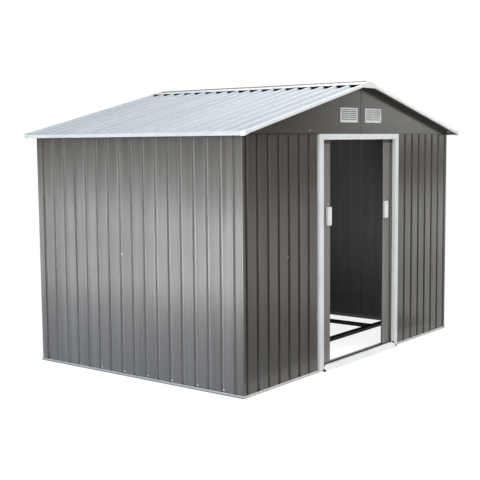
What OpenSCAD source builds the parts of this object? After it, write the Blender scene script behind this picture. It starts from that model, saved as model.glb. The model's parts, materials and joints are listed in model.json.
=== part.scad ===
// Apex metal storage shed of folded and ribbed sheet, with a pair of sliding doors in the gable side.
// Millimetres. Z is up, the doors face -Y, the ridge runs along Y, and the origin is on the ground
// below the middle of the shed. Depths called "in" are counted inwards from the outer face of a base rail.

/* [Shed] */
// Width over the base rails, along the gable side
shed_w = 2656; // [2500:1:2800]
// Depth over the base rails, along the ridge
shed_d = 1777; // [1650:1:1950]
// Height of the top edge of the wall sheets
wall_h = 1556; // [1450:1:1700]
// Slope of the roof in degrees
roof_pitch = 13.5; // [11:0.5:16]

/* [Sheet metal] */
// Thickness of the wall, gable, roof and door sheets
sheet = 1; // [0.6:0.1:1.2]
// Thickness of the rails, beams and tracks
rail_t = 1.5; // [1:0.1:2]
// Thickness of the white folded trim
trim_t = 1.2; // [0.8:0.1:1.5]
// Gap between sheets that lap over each other
lap_gap = 0.3; // [0.2:0.05:0.5]
// Gap between a piece and the seat that carries it
seat = 0.2; // [0.1:0.05:0.4]

/* [Wall sheets] */
// How far the wall's outer face stands in from the base rail's
wall_set = 4; // [3.6:0.1:6]
// Depth of a groove in the wall sheets
groove_d = 13; // [8:0.5:16]
// Width of a groove at the wall's outer face
groove_mouth = 28; // [22:1:34]
// Width of a groove at its floor
groove_floor = 14; // [10:1:18]
// Distance from the shed's corner to the first groove of a side wall
side_corner = 63.5; // [50:0.5:75]
// Distance from the shed's corner to the first groove of a gable wall
gable_corner = 42; // [36:0.5:55]
// Grooves in a side wall where its sheets start, lap and end, counted from the rear corner
side_laps = [0, 3, 7, 11, 13, 16];
// Grooves in the rear wall where its sheets start, lap and end
rear_laps = [0, 5, 10, 14, 19, 24];
// Grooves beside the doorway where the front sheets start, lap and end, from the corner inwards
front_laps = [0, 4, 7];

/* [Base] */
// Height of the base rail's outer lip
lip_h = 18; // [14:1:22]
// Height at which the outer lip bends towards the wall
lip_bend = 9; // [5:1:12]
// Height of the base rail's inner leg, which the sheets are screwed to
leg_h = 30; // [26:1:36]
// Width of the flange along the top of the lower door track's inner lip
track_flange = 17; // [10:1:24]
// Width of a floor beam
beam_w = 44; // [30:1:50]
// Height of a floor beam
beam_h = 26; // [15:1:30]
// Distance from the shed's middle to the floor beams that run from side to side
beam_y = 405; // [300:5:500]
// Distance from the shed's middle to the floor beams that run between those two
beam_x = 1002; // [800:1:1100]

/* [Top rails] */
// Height of a top rail's face
top_rail_h = 40; // [30:1:44]
// Depth of a top rail
top_rail_d = 26; // [20:1:32]

/* [Gables] */
// How far a gable sheet laps over the wall below it
gable_lap = 10; // [6:1:14]
// Width of the flange that is folded in under the roof
gable_flange = 13; // [10:0.5:15]
// Width of the lap where the two halves of a gable meet
gable_seam = 12; // [8:1:20]
// Width of a louvred vent
vent_w = 216; // [180:1:240]
// Height of a louvred vent
vent_h = 96; // [80:1:110]
// Distance from the middle of the gable to the middle of a vent
vent_x = 158; // [140:1:200]
// Height of a vent's middle above the top edge of the wall
vent_rise = 117; // [100:1:130]
// How far a vent stands out from the gable
vent_proud = 5; // [3:0.5:8]
// Width of the rim around a vent
vent_rim = 9; // [6:0.5:12]
// Number of slats in a vent
vent_slats = 6; // [4:1:7]
// Tilt of the slats in degrees
vent_tilt = 55; // [30:1:60]
// Width of a slat
slat_w = 13.5; // [9:0.5:14]
// Thickness of a slat
slat_t = 1.6; // [1.2:0.1:2]
// How far the slats run into the rim, and the hole in the gable clears them
slat_root = 1.5; // [1:0.1:2]
// Width of the post that carries the slats
vent_post = 3; // [2:0.5:5]

/* [Roof] */
// How far the roof reaches past the side walls
eave_reach = 57; // [45:1:80]
// How far the roof reaches past the gables
verge_reach = 66; // [50:1:90]
// Clear height between the top of the side wall and the roof's underside
roof_clear = 2.5; // [2:0.1:4]
// Height of a roof rib
rib_h = 15; // [10:0.5:18]
// Width of a roof rib at its foot
rib_foot = 36; // [30:1:42]
// Width of a roof rib at its top
rib_top = 20; // [14:1:24]
// Ribs where the roof sheets start, lap and end, counted from one verge
roof_laps = [0, 6, 12, 18];
// Gap between the upper ends of the roof sheets and the ridge line
ridge_gap = 4; // [3:0.5:8]
// Reach of the ridge cap down each slope
ridge_reach = 86; // [60:1:110]
// Distance from the shed's middle to the lap of the ridge cap's two lengths, towards the doors
ridge_lap_y = 330; // [0:5:500]
// How far the two lengths of the ridge cap lap
ridge_lap = 40; // [20:1:60]
// Height of the bead along the ridge cap's crest
crest_h = 5; // [3:0.5:8]
// Width of the bead at its foot
crest_foot = 22; // [16:1:30]
// Width of the bead at its top
crest_top = 12; // [8:1:16]
// Half width of the ridge beam
ridge_beam_b = 30; // [20:1:40]
// Depth of the ridge beam
ridge_beam_h = 46; // [36:1:60]
// Distance from the ridge to a side roof beam
roof_beam_x = 664; // [500:1:800]
// Width of a side roof beam
roof_beam_w = 40; // [30:1:50]
// Depth of a side roof beam
roof_beam_h = 40; // [30:1:50]

/* [Roof trim] */
// Width of the trim's flange on top of the roof
trim_top = 13; // [10:1:24]
// Width of the trim's flange below the roof
trim_under = 10; // [6:1:14]
// Height of the eave trim's face
eave_trim_h = 24; // [20:1:36]
// Height of the upper band of the eave trim
eave_band = 10.5; // [8:0.5:14]
// How far the eave trim's lower band steps back
eave_step = 2.5; // [1:0.5:4]
// Height of the verge trim's face
verge_trim_h = 21; // [18:1:32]
// Reach of a peak cap down each slope
peak_reach = 86; // [60:1:110]
// Length of a corner cap along the eave and along the verge
cap_len = 34; // [28:1:44]

/* [Doorway] */
// Distance from the middle of the doorway to a jamb's inner edge
jamb_in = 474; // [420:1:490]
// Width of a jamb's face
jamb_w = 48; // [40:1:56]
// How far the jambs and header stand out from the base rail
jamb_proud = 5; // [3:0.5:8]
// Depth of the jamb's return into the doorway
reveal_d = 25; // [20:1:26]
// Height of a jamb's lower end above the ground
jamb_foot = 3; // [1:0.5:6]
// Height of the header's face
header_h = 37; // [30:1:44]
// How far the header laps over the gable above it
header_lap = 3; // [1:0.5:6]
// Depth of the fold line along the middle of the header
header_fold = 1.5; // [0.8:0.1:2]
// How far the threshold's front edge stands out from the base rail
ramp_run = 22; // [16:1:40]
// Height of the threshold's front lip
ramp_lip = 2.5; // [1.5:0.1:4]
// Gap between the threshold's ends and the jambs
ramp_gap = 1; // [0.5:0.1:2]

/* [Doors] */
// Width of a door
door_w = 540; // [500:1:600]
// Distance from the middle of the doorway to the left door's leading edge as shown
left_open = 343; // [300:1:370]
// Distance from the middle of the doorway to the right door's leading edge as shown
right_open = 361; // [300:1:370]
// Thickness of a door over its folded edges
door_t = 12; // [11:0.5:14]
// Depth of a groove in a door
door_groove = 8; // [5:0.5:8.5]
// Grooves in a door
door_grooves = 4; // [3:1:4]
// Running clearance beside a door
door_clear = 6; // [5:0.5:7]
// How far a door's top edge reaches up behind the header
door_lap = 4; // [2:0.5:6]
// Height of the rails along a door's top and bottom
door_rail_h = 30; // [24:1:40]
// Height of a door handle
handle_h = 120; // [100:1:140]
// Width of a door handle
handle_w = 48; // [40:1:56]
// How far a door handle stands out from the door
handle_d = 15; // [12:0.5:16]
// Height of a door handle's middle
handle_z = 1012; // [900:1:1100]
// Distance from a door's leading edge to its handle
handle_in = 2.5; // [2:0.5:12]
// Thickness of a handle's wall
handle_wall = 3.5; // [2.5:0.5:4]
// Radius of a hanger's roller
roller_r = 9; // [7:0.5:10]
// Width of a roller
roller_w = 6; // [5:0.5:8]
// Radius of a roller's axle
axle_r = 3; // [2:0.5:4]
// Width of a hanger plate
hanger_w = 44; // [30:1:60]
// Distance from a door's edge to the middle of a hanger
hanger_in = 70; // [50:1:100]

/* [Hidden] */
// Steps around a roller or an axle
round_steps = 48;

half_w = shed_w / 2;
half_d = shed_d / 2;
slope = tan(roof_pitch);
rise = 1 / cos(roof_pitch);

// Every second sheet stands in by this much, so that it passes behind its neighbours
lap = sheet + lap_gap;
// Depth of the plane where the rails meet the backs of the grooves
rail_in = wall_set + groove_d + lap + sheet + seat;
base_d = rail_in + rail_t;
wall_z = rail_t + seat;
side_pitch = (shed_d - 2 * side_corner) / side_laps[len(side_laps) - 1];
rear_pitch = (shed_w - 2 * gable_corner) / rear_laps[len(rear_laps) - 1];
jamb_out = jamb_in + jamb_w;
// The last groove of a front wall lies under the jamb's outer edge
jamb_groove = jamb_out + groove_floor / 2 - trim_t;
front_pitch = (half_w - gable_corner - jamb_groove) / front_laps[len(front_laps) - 1];

// Doors stand between the base rail's leg and the inner lip of the lower track
door_rail_t = rail_t;
track_out = base_d + seat;
door_out = track_out + rail_t + door_clear + seat + door_rail_t;
door_in = door_out + door_t;
door_back = door_in + seat + door_rail_t;
track_lip = door_back + door_clear + rail_t;
hanger_out = door_back + seat;
hanger_back = hanger_out + rail_t;
ledge_in = hanger_back + door_clear;
track_in = ledge_in + seat + roller_w + door_clear + rail_t;
gable_z = wall_h - gable_lap;
header_z1 = gable_z + header_lap;
header_z0 = header_z1 - header_h;
door_z0 = rail_t + door_clear;
door_z1 = header_z0 + door_lap;
ledge_z = door_z1 + door_clear;
roller_z = ledge_z + rail_t + lap_gap + roller_r;

// Gable halves: the left one (seen from outside) is the inner sheet at the seam
gable_in = wall_set - lap_gap - sheet;
gable_out = gable_in - lap_gap - sheet;
vent_z = wall_h + vent_rise;

// Roof planes, each named by its height at the ridge line
roof_seat = wall_h + roof_clear + slope * half_w;
pan_top = roof_seat + (lap + sheet) * rise;
rib_z = pan_top + rib_h * rise;
cap_z = rib_z + (lap_gap + sheet) * rise;
trim_z = rib_z + (lap_gap + trim_t) * rise;
ridge_h = trim_z + (lap_gap + trim_t) * rise;
beam_top = roof_seat - (2 * seat + sheet) * rise;
eave_x = half_w + eave_reach;
verge_y = half_d + verge_reach;
verge_edge = verge_y - trim_t - lap_gap;
rib_pitch = 2 * (verge_edge - rib_top / 2) / roof_laps[len(roof_laps) - 1];
roof_end = (eave_x - trim_t - lap_gap - rib_h * sin(roof_pitch)) * rise;
eave_z = trim_z - slope * eave_x;
// How far the caps stand out from the trims they cover
cap_out = lap_gap + trim_t;

wall_colour = [0.45, 0.43, 0.40];
roof_colour = [0.78, 0.80, 0.82];
white = [0.92, 0.93, 0.93];
galvanised = [0.62, 0.66, 0.69];
near_black = [0.08, 0.08, 0.09];

// Folded sheet: an open line in a plane, thickened to its left (or to its right with a negative t)
function unit(v) = v / norm(v);
function left_of(a, b) = let (along = unit(b - a)) [-along[1], along[0]];
function fold_point(line, i, t) =
    let (last = len(line) - 1)
    let (before = left_of(line[max(i, 1) - 1], line[max(i, 1)]))
    let (after = left_of(line[min(i, last - 1)], line[min(i, last - 1) + 1]))
    line[i] + t * (before + after) / (1 + before * after);
function folded(line, t) =
    concat(line, [for (i = [len(line) - 1:-1:0]) fold_point(line, i, t)]);

// Ribbed sheet: trapezoids along a line, whole ones between a half one at each end
function trapezoid(c, mouth, floor_w, depth) =
    [[c - mouth / 2, 0], [c - floor_w / 2, depth], [c + floor_w / 2, depth], [c + mouth / 2, 0]];
function ribbed(centres, mouth, floor_w, depth, start, end) =
    let (last = len(centres) - 1)
    concat([[start, depth]],
        [for (i = [0:last]) for (p = trapezoid(centres[i], mouth, floor_w, depth))
            if ((i > 0 || p[0] > centres[0]) && (i < last || p[0] < centres[last])) p],
        [[end, depth]]);

// Places a piece drawn for the front wall at another wall
module at_wall(turn, half_span) rotate([0, 0, turn]) translate([0, -half_span, 0]) children();
module at_front() at_wall(0, half_d) children();
module at_rear() at_wall(180, half_d) children();
module at_left() at_wall(-90, half_w) children();
module at_right() at_wall(90, half_w) children();

// A folded profile given by depth and height, running along the wall
module run(line, length, t)
    rotate([90, 0, 90]) linear_extrude(length, center = true) polygon(folded(line, t));
// A folded profile given across the shed and by height, running along the ridge
module along_ridge(line, length, t)
    rotate([90, 0, 0]) linear_extrude(length, center = true) polygon(folded(line, t));
// Lays a piece on the right-hand slope: X runs down the slope, Z stands square to it
module on_slope(plane) translate([0, 0, plane]) rotate([0, roof_pitch, 0]) children();
module both_sides() {
    children();
    mirror([1, 0, 0]) children();
}
module both_ends() {
    children();
    mirror([0, 1, 0]) children();
}

// Base
base_line = [[wall_set - rail_t - 2 * seat, lip_h], [0, lip_bend], [0, 0], [base_d, 0], [base_d, leg_h]];
module base_rail(length) color(galvanised) intersection() {
    run(base_line, length, rail_t);
    linear_extrude(leg_h) polygon([[seat - length / 2, 0], [length / 2 - seat, 0],
        [length / 2 - base_d - seat, base_d], [base_d + seat - length / 2, base_d]]);
}
module base_rail_front() at_front() base_rail(shed_w);
module base_rail_rear() at_rear() base_rail(shed_w);
module base_rail_left() at_left() base_rail(shed_d);
module base_rail_right() at_right() base_rail(shed_d);
module lower_door_track() color(galvanised) at_front()
    run([[track_out, lip_bend], [track_out, 0], [track_lip, 0], [track_lip, leg_h],
        [track_lip + track_flange, leg_h]], shed_w - 2 * (base_d + seat), rail_t);
beam_line = [[-beam_w / 2, 0], [-beam_w / 2, beam_h], [beam_w / 2, beam_h], [beam_w / 2, 0]];
module floor_beams() color(near_black) {
    both_ends() translate([0, beam_y, 0]) run(beam_line, shed_w - 2 * (base_d + seat), -rail_t);
    both_sides() translate([beam_x, 0, 0])
        along_ridge(beam_line, 2 * beam_y - beam_w - 2 * seat, -rail_t);
}

// Walls: each sheet laps its neighbours at a groove, and every second one stands behind them
module wall_sheet(centres, start, end, inset) color(wall_colour)
    translate([0, wall_set + inset, wall_z]) linear_extrude(wall_h - wall_z)
        polygon(folded(ribbed(centres, groove_mouth, groove_floor, groove_d, start, end), sheet));
module wall(first, pitch, laps)
    for (i = [0:len(laps) - 2]) let (centres = [for (g = [laps[i]:laps[i + 1]]) first + g * pitch])
        wall_sheet(centres, centres[0] - groove_floor / 2, centres[len(centres) - 1] + groove_floor / 2,
            i % 2 == 0 ? lap : 0);
module left_wall() at_left() wall(side_corner - half_d, side_pitch, side_laps);
module right_wall() mirror([1, 0, 0]) left_wall();
module rear_wall() at_rear() wall(gable_corner - half_w, rear_pitch, rear_laps);
module front_wall_left() at_front()
    for (i = [0:len(front_laps) - 2])
        let (centres = [for (g = [front_laps[i]:front_laps[i + 1]]) gable_corner - half_w + g * front_pitch])
        wall_sheet(centres, centres[0] - groove_floor / 2,
            i == len(front_laps) - 2 ? -jamb_in - trim_t - lap_gap
                : centres[len(centres) - 1] + groove_floor / 2,
            i % 2 == 0 ? lap : 0);
module front_wall_right() mirror([1, 0, 0]) front_wall_left();

// Corner posts wrap the corner and end on the floor of the first groove of each wall
function corner_leg(c) = [[c - groove_mouth / 2, wall_set], [c - groove_floor / 2, wall_set + groove_d],
    [c + groove_floor / 2, wall_set + groove_d]];
corner_line = concat([for (i = [2:-1:0]) let (p = corner_leg(side_corner)[i]) [p[1], p[0]]],
    [[wall_set, wall_set]], corner_leg(gable_corner));
module corner_post() color(wall_colour) translate([-half_w, -half_d, wall_z])
    linear_extrude(wall_h - wall_z) polygon(folded(corner_line, sheet));
module corner_front_left() corner_post();
module corner_front_right() mirror([1, 0, 0]) corner_post();
module corner_rear_left() mirror([0, 1, 0]) corner_post();
module corner_rear_right() rotate([0, 0, 180]) corner_post();

// Rails inside the top of the walls
side_top = wall_h + roof_clear + slope * rail_in - seat * rise;
side_top_line = [[rail_in, wall_h - top_rail_h], [rail_in, side_top],
    [rail_in + top_rail_d, side_top + slope * top_rail_d]];
rail_span = shed_w - 2 * (rail_in + top_rail_d + seat);
module top_rails() color(galvanised) {
    both_sides() at_right() run(side_top_line, shed_d - 2 * (rail_in + seat), -rail_t);
    at_rear() run([[rail_in, wall_h - top_rail_h], [rail_in, wall_h], [rail_in + top_rail_d, wall_h]],
        rail_span, -rail_t);
}
module upper_door_track() color(galvanised) at_front()
    run([[rail_in, door_z1], [rail_in, wall_h], [track_in, wall_h], [track_in, ledge_z],
        [ledge_in, ledge_z]], rail_span, -rail_t);

// Gables: a half is drawn to the right of the seam, in its own plane, with its flange under the roof
gable_top = roof_seat - seat * rise;
gable_end = half_w - wall_set;
function under_roof(x) = gable_top - slope * x;
vent_inner_w = vent_w - 2 * vent_rim;
vent_inner_h = vent_h - 2 * vent_rim;
seam_top = under_roof(0) - (sheet + 2 * lap_gap) * rise - slope * gable_seam;
module gable_half(inset, seam) color(wall_colour) at_front() difference() {
    union() {
        translate([0, inset + sheet, 0]) rotate([90, 0, 0]) linear_extrude(sheet)
            polygon([[lap_gap / 2, gable_z], [gable_end, gable_z], [gable_end, under_roof(gable_end)],
                [lap_gap / 2, under_roof(lap_gap / 2)]]);
        translate([0, inset + gable_flange, 0]) rotate([90, 0, 0]) linear_extrude(gable_flange)
            polygon([[lap_gap / 2, under_roof(lap_gap / 2) - sheet * rise],
                [gable_end, under_roof(gable_end) - sheet * rise],
                [gable_end, under_roof(gable_end)], [lap_gap / 2, under_roof(lap_gap / 2)]]);
        if (seam > 0) translate([-seam, inset, gable_z]) cube([seam + sheet, sheet, seam_top - gable_z]);
    }
    translate([vent_x, inset, vent_z])
        cube([vent_inner_w + 4 * slat_root, 4 * sheet, vent_inner_h + 2 * slat_root], center = true);
}
module gable_front_right() gable_half(gable_out, 0);
module gable_front_left() mirror([1, 0, 0]) gable_half(gable_in, gable_seam);
module gable_rear_right() mirror([0, 1, 0]) gable_half(gable_out, 0);
module gable_rear_left() mirror([0, 1, 0]) mirror([1, 0, 0]) gable_half(gable_in, gable_seam);

// A louvred vent: a rim over the hole in the gable, tilted slats and a post that carries them
slat_pitch = vent_inner_h / vent_slats;
slat_depth = slat_w * cos(vent_tilt) + slat_t * sin(vent_tilt);
// The slats' outer edges stand just behind the front of the rim
slat_mid = slat_depth / 2 + slat_root - vent_proud;
module vent(inset) color(white) at_front() translate([vent_x, inset - seat, vent_z]) {
    difference() {
        translate([-vent_w / 2, -vent_proud, -vent_h / 2]) cube([vent_w, vent_proud, vent_h]);
        cube([vent_inner_w, 3 * vent_proud, vent_inner_h], center = true);
    }
    translate([-vent_post / 2, slat_root - vent_proud, -vent_inner_h / 2 - slat_root])
        cube([vent_post, vent_proud - slat_root, vent_inner_h + 2 * slat_root]);
    for (i = [0:vent_slats - 1])
        translate([0, slat_mid, (i + 0.5) * slat_pitch - vent_inner_h / 2]) rotate([vent_tilt, 0, 0])
            cube([vent_inner_w + 2 * slat_root, slat_w, slat_t], center = true);
}
module vents() both_ends() {
    vent(gable_out);
    mirror([1, 0, 0]) vent(gable_in);
}

// Roof beams between the gables, below their flanges
gable_clear = shed_d - 2 * (gable_in + sheet + seat);
module ridge_beam() color(galvanised)
    along_ridge([[-ridge_beam_b, beam_top - ridge_beam_h], [-ridge_beam_b, beam_top - slope * ridge_beam_b],
        [0, beam_top], [ridge_beam_b, beam_top - slope * ridge_beam_b],
        [ridge_beam_b, beam_top - ridge_beam_h]], gable_clear, -rail_t);
module roof_beams() color(galvanised) both_sides()
    on_slope(beam_top) translate([roof_beam_x * rise, 0, 0])
        along_ridge([[-roof_beam_w / 2, -roof_beam_h], [-roof_beam_w / 2, 0], [roof_beam_w / 2, 0],
            [roof_beam_w / 2, -roof_beam_h]], gable_clear, -rail_t);

// Roof sheets lap at a rib, and every second one lies under its neighbours
module roof_sheet(centres, inset) color(roof_colour) on_slope(pan_top)
    translate([ridge_gap, 0, -inset]) rotate([90, 0, 90]) linear_extrude(roof_end - ridge_gap)
        polygon(folded(ribbed(centres, rib_foot, rib_top, rib_h, centres[0] - rib_top / 2,
            centres[len(centres) - 1] + rib_top / 2), -sheet));
module roof_right()
    for (i = [0:len(roof_laps) - 2])
        roof_sheet([for (r = [roof_laps[i]:roof_laps[i + 1]]) rib_top / 2 - verge_edge + r * rib_pitch],
            i % 2 == 0 ? 0 : lap);
module roof_left() mirror([1, 0, 0]) roof_right();
// The ridge cap: two lengths with a bead along the crest, the front one over the rear one
ridge_end = verge_y + cap_out - cap_len - lap_gap;
ridge_base = [[-ridge_reach, cap_z - slope * ridge_reach], [-crest_foot / 2, cap_z - slope * crest_foot / 2],
    [-crest_top / 2, cap_z + crest_h], [crest_top / 2, cap_z + crest_h],
    [crest_foot / 2, cap_z - slope * crest_foot / 2], [ridge_reach, cap_z - slope * ridge_reach]];
function ridge_line(lift) = [for (i = [0:len(ridge_base) - 1]) fold_point(ridge_base, i, lift)];
module ridge_length(front, back, lift) translate([0, (front + back) / 2, 0])
    along_ridge(ridge_line(lift), back - front, -sheet);
module ridge_cap() color(white) {
    ridge_length(-ridge_end, -ridge_lap_y, lap);
    ridge_length(-ridge_lap_y - ridge_lap, ridge_end, 0);
}

// Roof trim
eave_bottom = eave_z - eave_trim_h;
eave_line = [[eave_x - trim_top, eave_z + slope * trim_top], [eave_x, eave_z], [eave_x, eave_z - eave_band],
    [eave_x - eave_step, eave_z - eave_band - eave_step], [eave_x - eave_step, eave_bottom],
    [eave_x - eave_step - trim_under, eave_bottom]];
module eave_trim_right() color(white)
    along_ridge(eave_line, 2 * (verge_y - trim_top - lap_gap), -trim_t);
module eave_trim_left() mirror([1, 0, 0]) eave_trim_right();
verge_line = [[verge_y - trim_top, 0], [verge_y, 0], [verge_y, -verge_trim_h],
    [verge_y - trim_under, -verge_trim_h]];
verge_end = (eave_x - trim_t - lap_gap - verge_trim_h * sin(roof_pitch)) * rise;
module verge_trim_rear() color(white) both_sides() on_slope(trim_z)
    translate([(verge_trim_h * sin(roof_pitch) + lap_gap) * rise, 0, 0])
        rotate([90, 0, 90]) linear_extrude(verge_end - verge_trim_h * sin(roof_pitch) * rise)
            polygon(folded(verge_line, -trim_t));
module verge_trim_front() mirror([0, 1, 0]) verge_trim_rear();

// Caps over the peak and over the corners where the trims meet
peak_drop = (verge_trim_h + cap_out) * rise;
peak_line = [[-peak_reach, ridge_h - slope * peak_reach], [0, ridge_h],
    [peak_reach, ridge_h - slope * peak_reach]];
module peak_caps() color(white) both_ends() {
    translate([0, verge_y + cap_out - cap_len / 2, 0]) along_ridge(peak_line, cap_len, -trim_t);
    translate([0, verge_y + cap_out, 0]) rotate([90, 0, 0]) linear_extrude(trim_t)
        polygon(concat(peak_line, [for (i = [2, 0]) peak_line[i] - [0, peak_drop]]));
}
corner_x = eave_x + cap_out;
corner_z = ridge_h - slope * corner_x;
corner_face = [[corner_x - cap_len, corner_z + slope * cap_len], [corner_x, corner_z],
    [corner_x, eave_bottom - cap_out], [corner_x - cap_len, corner_z + slope * cap_len - peak_drop]];
module corner_caps() color(white) both_sides() both_ends() {
    translate([0, verge_y + cap_out - cap_len / 2, 0])
        along_ridge([corner_face[0], corner_face[1], corner_face[2]], cap_len, -trim_t);
    translate([0, verge_y + cap_out, 0]) rotate([90, 0, 0]) linear_extrude(trim_t) polygon(corner_face);
}

// Doorway
soffit_in = reveal_d - jamb_proud;
header_mid = (header_z0 + header_z1) / 2;
// The frame's flanks reach in to the floor of the groove beside it
flank_in = wall_set + groove_d - seat;
module door_header() color(white) at_front() {
    run([[gable_out - seat, header_z1], [-jamb_proud, header_z1], [-jamb_proud, header_mid + header_fold],
        [header_fold - jamb_proud, header_mid], [-jamb_proud, header_mid - header_fold],
        [-jamb_proud, header_z0], [wall_set - seat, header_z0]], 2 * jamb_out, trim_t);
    both_sides() translate([jamb_out - trim_t, -jamb_proud, header_z0]) {
        cube([trim_t, jamb_proud + gable_out - seat, header_h]);
        cube([trim_t, jamb_proud + flank_in, gable_z - seat - header_z0]);
    }
}
jamb_z = leg_h + 2 * seat + trim_t;
foot_top = jamb_z + trim_t;
// The foot of a jamb's flank straddles the base rail's lip
foot_line = [[-jamb_proud, jamb_foot], [-seat, jamb_foot], [-seat, lip_h + seat], [wall_set, lip_h + seat],
    [wall_set, wall_z], [flank_in, wall_z], [flank_in, foot_top], [-jamb_proud, foot_top]];
module door_jamb_right() color(white) at_front() {
    translate([0, 0, jamb_z]) linear_extrude(header_z0 - seat - jamb_z)
        polygon(folded([[jamb_out, flank_in], [jamb_out, -jamb_proud], [jamb_in, -jamb_proud],
            [jamb_in, soffit_in]], -trim_t));
    translate([jamb_in, -jamb_proud, jamb_foot]) cube([jamb_w, trim_t, foot_top - jamb_foot]);
    translate([jamb_out - trim_t, 0, 0]) rotate([90, 0, 90]) linear_extrude(trim_t) polygon(foot_line);
}
module door_jamb_left() mirror([1, 0, 0]) door_jamb_right();
ramp_top = leg_h + seat + trim_t;
module threshold() color(white) at_front()
    run([[-ramp_run, 0], [-ramp_run, ramp_lip], [wall_set - rail_t, ramp_top], [base_d, ramp_top]],
        2 * (jamb_in - ramp_gap), -trim_t);

// Doors, drawn for the right-hand one with its leading edge in the middle of the doorway
door_pitch = door_w / (door_grooves + 1);
door_line = concat([[0, door_in], [0, door_out]],
    [for (i = [1:door_grooves]) for (p = trapezoid(i * door_pitch, groove_mouth, groove_floor, door_groove))
        [p[0], p[1] + door_out]],
    [[door_w, door_out], [door_w, door_in]]);
module at_right_door() translate([right_open, 0, 0]) at_front() children();
module at_left_door() mirror([1, 0, 0]) translate([left_open, 0, 0]) at_front() children();
sheet_z0 = door_z0 + door_rail_t + seat;
sheet_z1 = door_z1 - door_rail_t - seat;
module door_sheet() color(wall_colour) translate([0, 0, sheet_z0])
    linear_extrude(sheet_z1 - sheet_z0) polygon(folded(door_line, sheet));
module left_door() at_left_door() door_sheet();
module right_door() at_right_door() door_sheet();
rail_out = door_out - seat - door_rail_t;
module door_rail(z, up) translate([door_w / 2, 0, 0])
    run([[rail_out, z + up * door_rail_h], [rail_out, z], [door_back, z], [door_back, z + up * door_rail_h]],
        door_w, up * door_rail_t);
module door_rails() color(wall_colour) {
    door_rail(door_z0, 1);
    door_rail(door_z1, -1);
}
module left_door_rails() at_left_door() door_rails();
module right_door_rails() at_right_door() door_rails();

// Hangers: a plate behind the top rail of the door, and a roller on the ledge of the upper track
module hanger() {
    translate([-hanger_w / 2, hanger_out, door_z1 - door_rail_h])
        cube([hanger_w, rail_t, roller_z + 2 * axle_r - door_z1 + door_rail_h]);
    translate([0, hanger_back - rail_t / 2, roller_z]) rotate([-90, 0, 0])
        cylinder(h = ledge_in + seat + roller_w - hanger_back + rail_t / 2, r = axle_r, $fn = round_steps);
    translate([0, ledge_in + seat, roller_z]) rotate([-90, 0, 0])
        cylinder(h = roller_w, r = roller_r, $fn = round_steps);
}
module hangers() color(galvanised) for (x = [hanger_in, door_w - hanger_in]) translate([x, 0, 0]) hanger();
module left_door_hangers() at_left_door() hangers();
module right_door_hangers() at_right_door() hangers();

// Handles: a hollow moulded block on the door's leading edge, open at its back
module handle() color(white) translate([handle_in, door_out - seat - handle_d, handle_z - handle_h / 2])
    difference() {
        cube([handle_w, handle_d, handle_h]);
        translate([handle_wall, handle_wall, handle_wall])
            cube([handle_w - 2 * handle_wall, handle_d, handle_h - 2 * handle_wall]);
    }
module left_door_handle() at_left_door() handle();
module right_door_handle() at_right_door() handle();

base_rail_front();
base_rail_rear();
base_rail_left();
base_rail_right();
lower_door_track();
floor_beams();
front_wall_left();
front_wall_right();
left_wall();
right_wall();
rear_wall();
corner_front_left();
corner_front_right();
corner_rear_left();
corner_rear_right();
top_rails();
upper_door_track();
gable_front_left();
gable_front_right();
gable_rear_left();
gable_rear_right();
vents();
ridge_beam();
roof_beams();
roof_left();
roof_right();
ridge_cap();
eave_trim_left();
eave_trim_right();
verge_trim_front();
verge_trim_rear();
peak_caps();
corner_caps();
door_header();
door_jamb_left();
door_jamb_right();
threshold();
left_door();
left_door_rails();
left_door_hangers();
left_door_handle();
right_door();
right_door_rails();
right_door_hangers();
right_door_handle();
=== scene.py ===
"""Looks of the metal storage shed: folded sheets with rounded bends, fasteners, finishes, light and camera.
Lengths are metres in the part's own frame: the doors face -Y, the ridge runs along Y and Z is up."""
import json
import math

import bmesh
import bpy
import numpy as np
from mathutils import Matrix, Vector, noise
from mathutils.bvhtree import BVHTree

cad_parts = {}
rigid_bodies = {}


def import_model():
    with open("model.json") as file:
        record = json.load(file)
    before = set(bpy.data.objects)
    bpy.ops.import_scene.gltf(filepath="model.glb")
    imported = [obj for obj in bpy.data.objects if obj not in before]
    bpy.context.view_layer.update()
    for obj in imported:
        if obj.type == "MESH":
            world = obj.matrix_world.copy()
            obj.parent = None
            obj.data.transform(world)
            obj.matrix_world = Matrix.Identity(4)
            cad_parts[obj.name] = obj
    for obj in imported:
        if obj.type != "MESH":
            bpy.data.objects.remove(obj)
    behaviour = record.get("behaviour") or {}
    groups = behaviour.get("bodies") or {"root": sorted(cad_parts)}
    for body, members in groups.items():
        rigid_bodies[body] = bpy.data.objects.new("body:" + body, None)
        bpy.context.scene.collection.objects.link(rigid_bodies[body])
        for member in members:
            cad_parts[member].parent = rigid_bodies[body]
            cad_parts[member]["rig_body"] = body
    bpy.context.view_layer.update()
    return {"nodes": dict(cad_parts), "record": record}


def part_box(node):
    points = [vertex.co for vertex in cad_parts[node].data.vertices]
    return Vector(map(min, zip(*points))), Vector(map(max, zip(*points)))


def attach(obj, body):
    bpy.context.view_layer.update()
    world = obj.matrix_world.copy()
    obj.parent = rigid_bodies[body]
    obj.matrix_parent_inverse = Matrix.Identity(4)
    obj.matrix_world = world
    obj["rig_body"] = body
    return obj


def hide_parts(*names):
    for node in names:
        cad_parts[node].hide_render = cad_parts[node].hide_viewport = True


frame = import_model()
nodes = frame["nodes"]
slot_of = {s["node"]: s["material_slot"] for s in frame["record"]["subparts"]}
X, Y, Z = Vector((1, 0, 0)), Vector((0, 1, 0)), Vector((0, 0, 1))

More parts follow.
